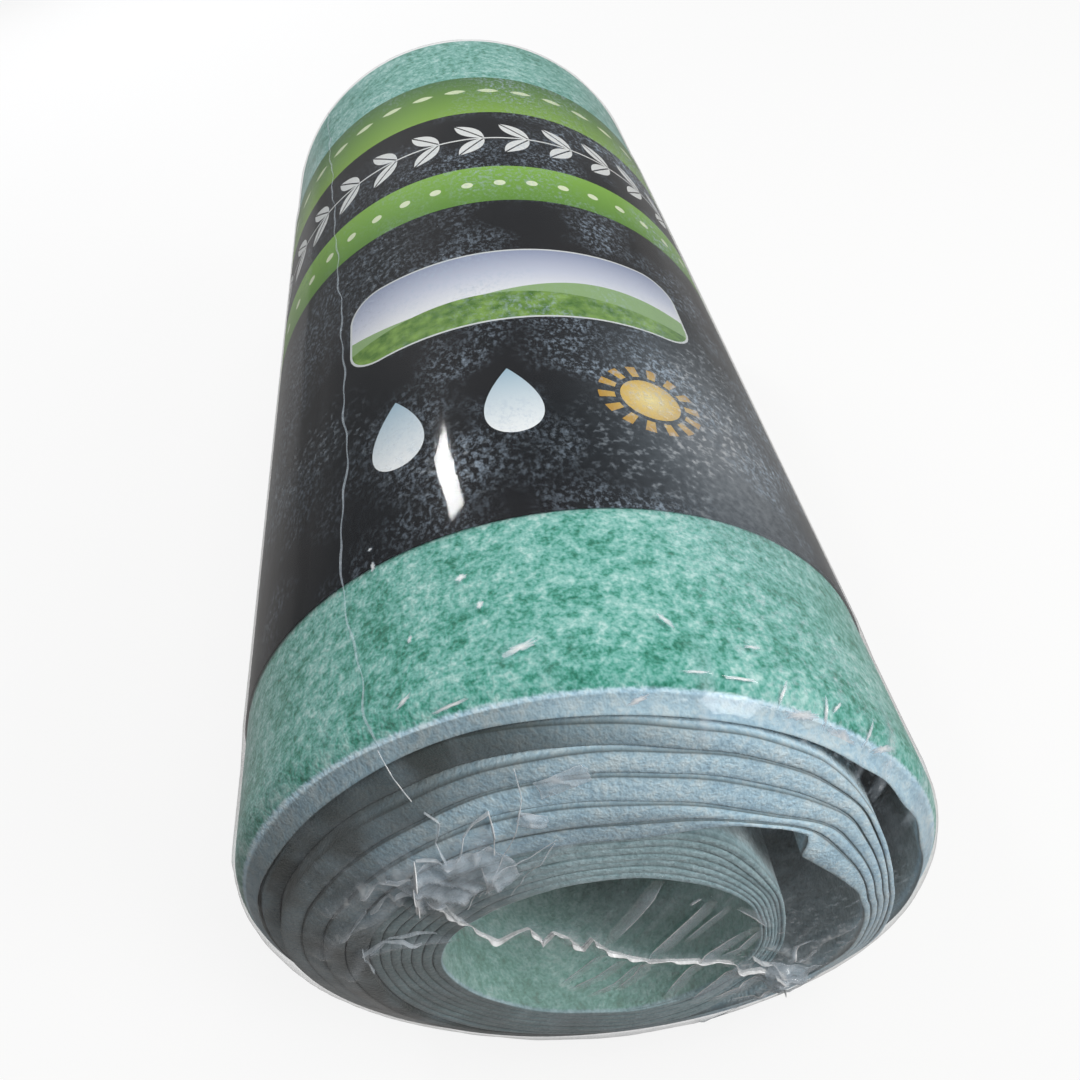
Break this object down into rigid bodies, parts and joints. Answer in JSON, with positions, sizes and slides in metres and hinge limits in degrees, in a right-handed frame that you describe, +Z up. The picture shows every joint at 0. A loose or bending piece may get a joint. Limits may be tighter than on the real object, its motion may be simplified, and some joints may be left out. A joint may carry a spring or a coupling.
{
  "type": "roll of grass seed mat",
  "caption": "Wound roll of green fleece seed mat in a printed paper sleeve, sealed in clear shrink film, lying on its side; unwrapped and unrolled over bare soil to grow lawn.",
  "frame": {"origin": "on the floor under the middle of the roll", "axes": "+Z up, Y along the roll's axis with the near end at -Y, X across the roll"},
  "size_m": [0.178, 0.4, 0.178],
  "materials": {
    "mat_fleece": "felted fibre, mottled green outside, pale grey at the edges and inside",
    "sleeve_paper": "coated printed paper, black with leaf green bands",
    "clear_film": "clear glossy shrink film"
  },
  "bodies": {
    "root": {"mat_roll": "mat_fleece", "printed_sleeve": "sleeve_paper", "shrink_film": "clear_film"}
  },
  "joints": []
}
